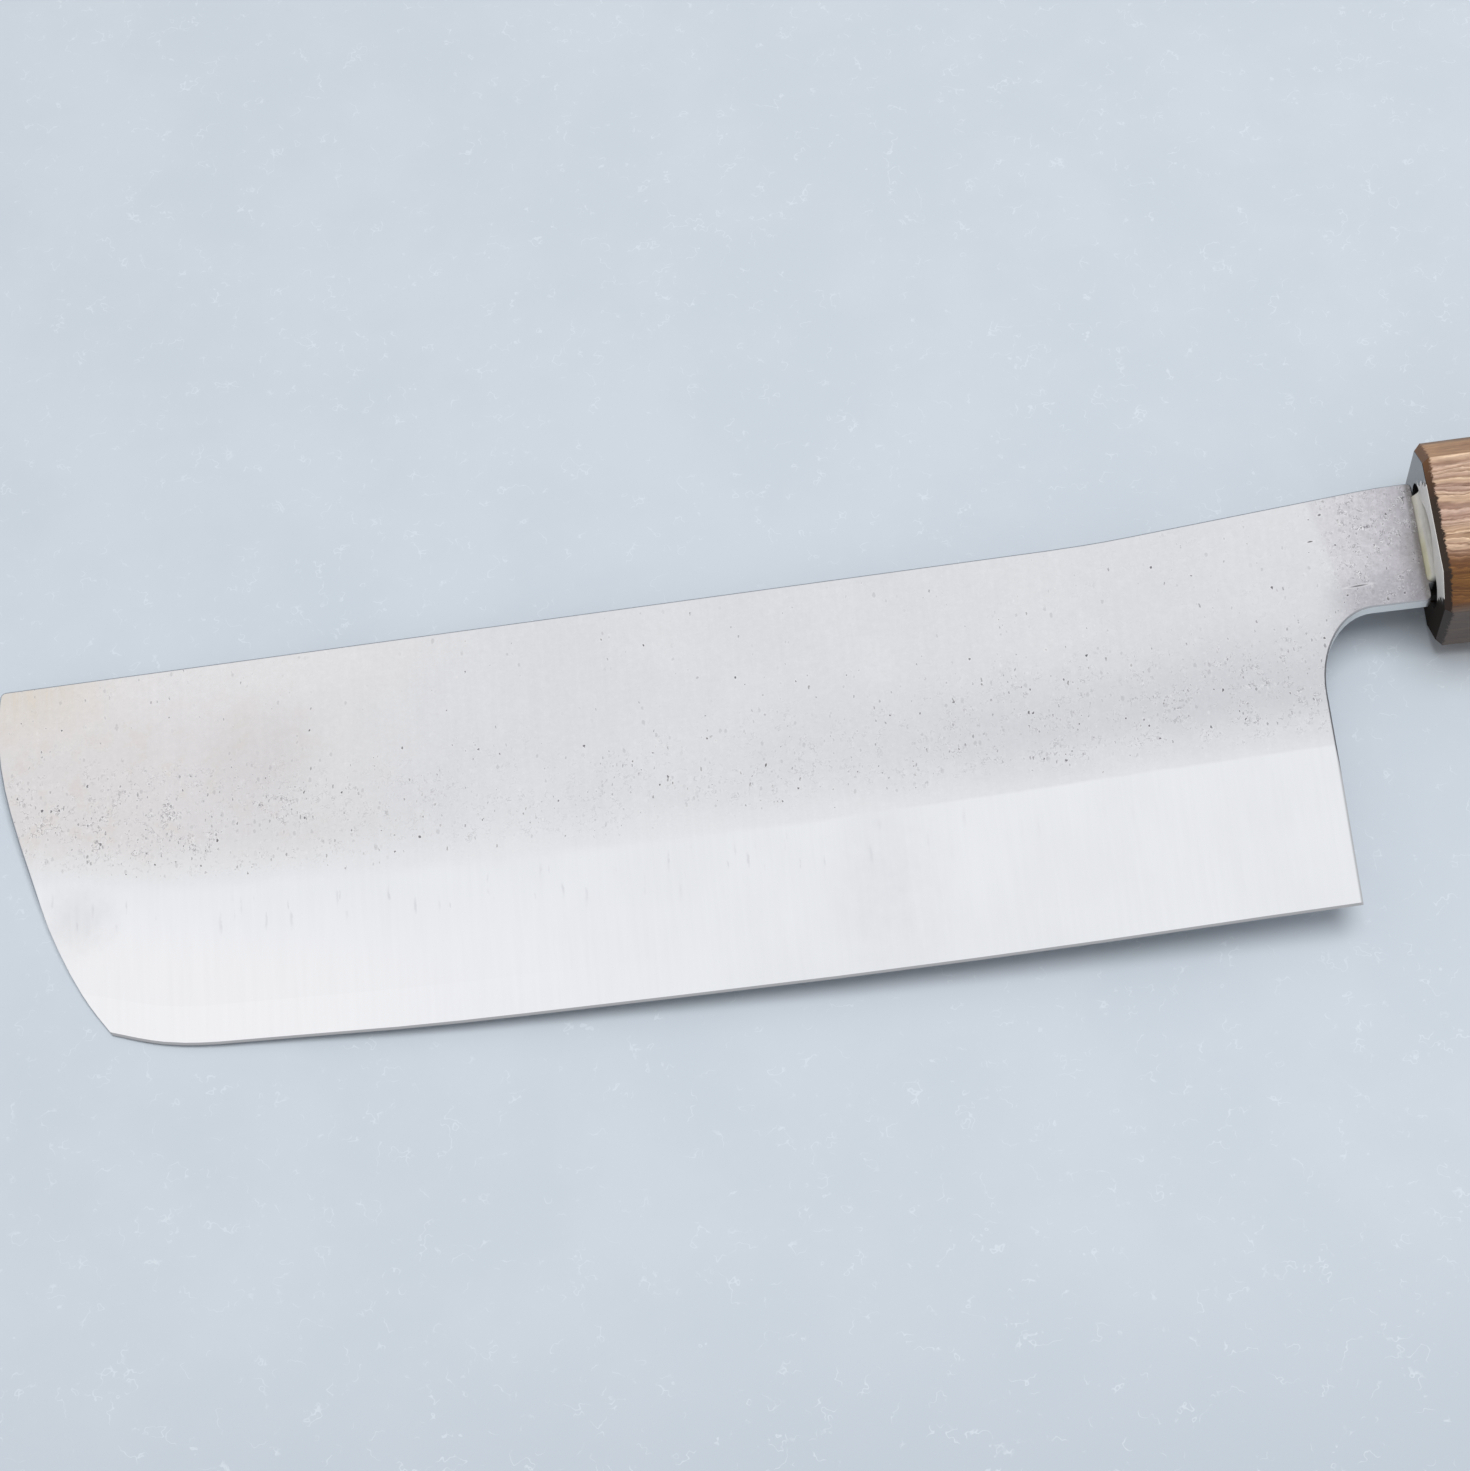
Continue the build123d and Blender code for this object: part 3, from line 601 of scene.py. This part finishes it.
# The slot's ends are round, so the bead gets lower past the slot's straight part
from_middle = add(tree, "ShaderNodeMath", y, operation="ABSOLUTE")
past = add(tree, "ShaderNodeMath", from_middle, sizes["Straight half"], operation="SUBTRACT")
past = add(tree, "ShaderNodeMath", past, 0.0, operation="MAXIMUM")
past_square = add(tree, "ShaderNodeMath", past, past, operation="MULTIPLY")
top = add(tree, "ShaderNodeMath", sizes["Slot half"], sizes["Slot half"], operation="MULTIPLY")
top = add(tree, "ShaderNodeMath", top, past_square, operation="SUBTRACT")
top = add(tree, "ShaderNodeMath", top, operation="SQRT")
gap = add(tree, "ShaderNodeMath", sizes["Slot half"], sizes["Neck half"], operation="SUBTRACT")
share = add(tree, "ShaderNodeMath", z, sizes["Neck half"], operation="SUBTRACT")
share = add(tree, "ShaderNodeMath", share, gap, operation="DIVIDE")
room = add(tree, "ShaderNodeMath", top, sizes["Neck half"], operation="SUBTRACT")
new_z = add(tree, "ShaderNodeMath", share, room, sizes["Neck half"], operation="MULTIPLY_ADD")
# Its front is hollow between the steel and the wood, and falls back into the slot at one end
rest = add(tree, "ShaderNodeMath", 1.0, share, operation="SUBTRACT")
hollow = add(tree, "ShaderNodeMath", share, rest, operation="MULTIPLY")
hollow = add(tree, "ShaderNodeMath", hollow, 4.0, operation="MULTIPLY")
hollow = add(tree, "ShaderNodeMath", hollow, sizes["Hollow"], operation="MULTIPLY")
low_end = add(tree, "ShaderNodeMath", y, -1.0, operation="MULTIPLY")
end_share = add(
    tree, "ShaderNodeMapRange", low_end, sizes["Straight half"], sizes["Half length"], **smooth
)
moved = add(tree, "ShaderNodeMath", end_share, sizes["End fall"], hollow, operation="MULTIPLY_ADD")
waves_per_metre = 420.0
uneven = add(tree, "ShaderNodeTexNoise", place, None, waves_per_metre, 3.0)
uneven = add(tree, "ShaderNodeMath", uneven, 0.35, operation="SUBTRACT")
moved = add(tree, "ShaderNodeMath", uneven, sizes["Unevenness"], moved, operation="MULTIPLY_ADD")
# The back stays flat against the glue
back_x, front_x = 0.0055, 0.0004
front_share = add(tree, "ShaderNodeMapRange", x, back_x, front_x)
moved = add(tree, "ShaderNodeMath", moved, front_share, x, operation="MULTIPLY_ADD")
bead = add(
    tree,
    "GeometryNodeSetPosition",
    bead,
    named={"Position": add(tree, "ShaderNodeCombineXYZ", moved, y, new_z)},
)
other_side = add(tree, "GeometryNodeTransform", bead, named={"Rotation": (math.pi, 0.0, 0.0)})
joined = add(tree, "GeometryNodeJoinGeometry")
for side in (bead, other_side):
    tree.links.new(side.outputs[0], joined.inputs[0])
joined = add(tree, "GeometryNodeRealizeInstances", joined)
joined = add(tree, "GeometryNodeSetMaterial", joined, named={"Material": seal_finish})
add(tree, "NodeGroupOutput", joined)

bead_maker = bpy.data.objects.new("bead_maker", bpy.data.meshes.new("bead_maker"))
bpy.context.collection.objects.link(bead_maker)
maker = bead_maker.modifiers.new("bead", "NODES")
maker.node_group = tree
for name, socket in bead_sockets.items():
    maker[socket.identifier] = bead_sizes[name]
bpy.context.view_layer.update()
evaluated = bead_maker.evaluated_get(bpy.context.evaluated_depsgraph_get())
bead_mesh = bpy.data.meshes.new_from_object(evaluated)
bead_maker.modifiers.remove(maker)
bpy.data.objects.remove(bead_maker)
mouth_bead = bpy.data.objects.new("mouth_bead", bead_mesh)
bpy.context.collection.objects.link(mouth_bead)
mouth_bead.data.polygons.foreach_set("use_smooth", [True] * len(bead_mesh.polygons))
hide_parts("mouth_seal")
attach(mouth_bead, "root")

# Table: a plain pale sheet of fibrous paper under the knife. The knife lies on its right side and
# touches the sheet at the handle and at the tip, so the sheet passes through those places.
table_normal = Vector((0.04226, 0.04282, 0.99819)).normalized()
table_drop = 0.0091795
table_reach = 1.5
bpy.ops.mesh.primitive_plane_add(size=2 * table_reach)
table = bpy.context.object
table.name = "table"
turn = Vector((0, 0, 1)).rotation_difference(table_normal).to_matrix().to_4x4()
table.data.transform(Matrix.Translation(-table_normal * table_drop) @ turn)
table_finish, tree, mm, (_, y, _) = start_finish("paper_pale_blue")
mottle = add(tree, "ShaderNodeTexNoise", mm, None, 0.05, 6.0, 0.6)
mottle = add(tree, "ShaderNodeMapRange", mottle, 0.35, 0.65, **smooth)
paper = add(tree, "ShaderNodeMixRGB", mottle, linear("#c8d1da"), linear("#cbd3dc"))
# The sheet is a little greyer towards its near side
near_side = add(tree, "ShaderNodeMapRange", y, -75.0, -125.0, 0.0, 1.0, **smooth)
paper = add(tree, "ShaderNodeMixRGB", near_side, paper, linear("#bdc7d1"))
# Fibres: thin curled lines, lighter than the sheet, where a noise crosses its middle value
curl = add(tree, "ShaderNodeTexNoise", mm, None, 0.22, 3.0, 0.6)
curl = add(tree, "ShaderNodeMath", curl, 0.5, operation="SUBTRACT")
curl = add(tree, "ShaderNodeMath", curl, operation="ABSOLUTE")
curl = add(tree, "ShaderNodeMapRange", curl, 0.012, 0.002, **smooth)
broken = add(tree, "ShaderNodeTexNoise", mm, None, 0.4, 2.0)
broken = add(tree, "ShaderNodeMapRange", broken, 0.52, 0.62, 0.0, 0.8)
curl = add(tree, "ShaderNodeMath", curl, broken, operation="MULTIPLY")
paper = add(tree, "ShaderNodeMixRGB", curl, paper, linear("#d6dee6"))
shader = add(
    tree,
    "ShaderNodeBsdfPrincipled",
    named={"Base Color": paper, "Roughness": 0.9, "Specular IOR Level": 0.1},
)
add(tree, "ShaderNodeOutputMaterial", shader)
table.data.materials.append(table_finish)

# Studio: a room with a white ceiling and grey walls lower down, which the steel and the varnish
# mirror at full strength and which lights the knife at half of it, and one big softbox overhead, a
# little to the handle's side. The camera sees plain white.
world = bpy.data.worlds.new("studio")
bpy.context.scene.world = world
world.use_nodes = True
tree = world.node_tree
tree.nodes.clear()
ray = add(tree, "ShaderNodeLightPath").outputs
seen = add(tree, "ShaderNodeMath", ray["Is Camera Ray"], ray["Is Glossy Ray"], operation="MAXIMUM")
seen = add(tree, "ShaderNodeMath", seen, ray["Is Transmission Ray"], operation="MAXIMUM")
room_light = 0.5
strength = add(tree, "ShaderNodeMapRange", seen, 0.0, 1.0, room_light, 1.0)
direction = add(tree, "ShaderNodeTexCoord").outputs["Generated"]
up = add(tree, "ShaderNodeSeparateXYZ", direction).outputs["Z"]
ceiling = add(tree, "ShaderNodeMapRange", up, 0.05, 0.5, **smooth)
ceiling = add(tree, "ShaderNodeMath", ceiling, ray["Is Camera Ray"], operation="MAXIMUM")
walls = add(tree, "ShaderNodeMixRGB", ceiling, linear("#8c8c8c"), linear("#ffffff"))
room = add(tree, "ShaderNodeBackground", walls, strength)
add(tree, "ShaderNodeOutputWorld", room)

softbox_size = 0.6
softbox_radiance = 6.2
softbox_place = Vector((0.13, 0.06, 1.0))
softbox_aim = Vector((-0.08, -0.02, 0.0))
lamp = bpy.data.lights.new("softbox", "AREA")
lamp.size = softbox_size
lamp.energy = softbox_radiance * math.pi * softbox_size**2
softbox = bpy.data.objects.new("softbox", lamp)
softbox.location = softbox_place
softbox.rotation_mode = "QUATERNION"
softbox.rotation_quaternion = (softbox_aim - softbox_place).to_track_quat("-Z", "Y")
softbox.visible_camera = False
softbox.visible_glossy = False
bpy.context.collection.objects.link(softbox)

# Camera: above the blade on the edge's side, with the handle's end out of the frame. Its turn and
# place, in radians and metres, were worked out from the handle's octagon and the blade's plane.
image_height = 1471
sensor_mm = 36.0
focal_px = 3000.1
pitch, yaw, roll = -0.371134, 0.0950199, -0.0902464
offset = Vector((0.0851117, -0.023479, 0.3703243))
turned = Matrix.Rotation(pitch, 3, "X") @ Matrix.Rotation(yaw, 3, "Y")
turned = turned @ Matrix.Rotation(roll, 3, "Z")
to_camera = turned @ Matrix(((1, 0, 0), (0, -1, 0), (0, 0, -1)))
axes_in_row = Matrix((to_camera[0], -to_camera[1], -to_camera[2])).transposed()
camera_data = bpy.data.cameras.new("camera")
camera_data.sensor_fit = "AUTO"
camera_data.sensor_width = sensor_mm
camera_data.lens = focal_px / image_height * sensor_mm
camera_data.clip_start, camera_data.clip_end = 0.01, 20.0
camera = bpy.data.objects.new("camera", camera_data)
camera.matrix_world = Matrix.Translation(-(to_camera.transposed() @ offset)) @ axes_in_row.to_4x4()
bpy.context.collection.objects.link(camera)
bpy.context.scene.camera = camera
bpy.context.scene.view_settings.view_transform = "Standard"
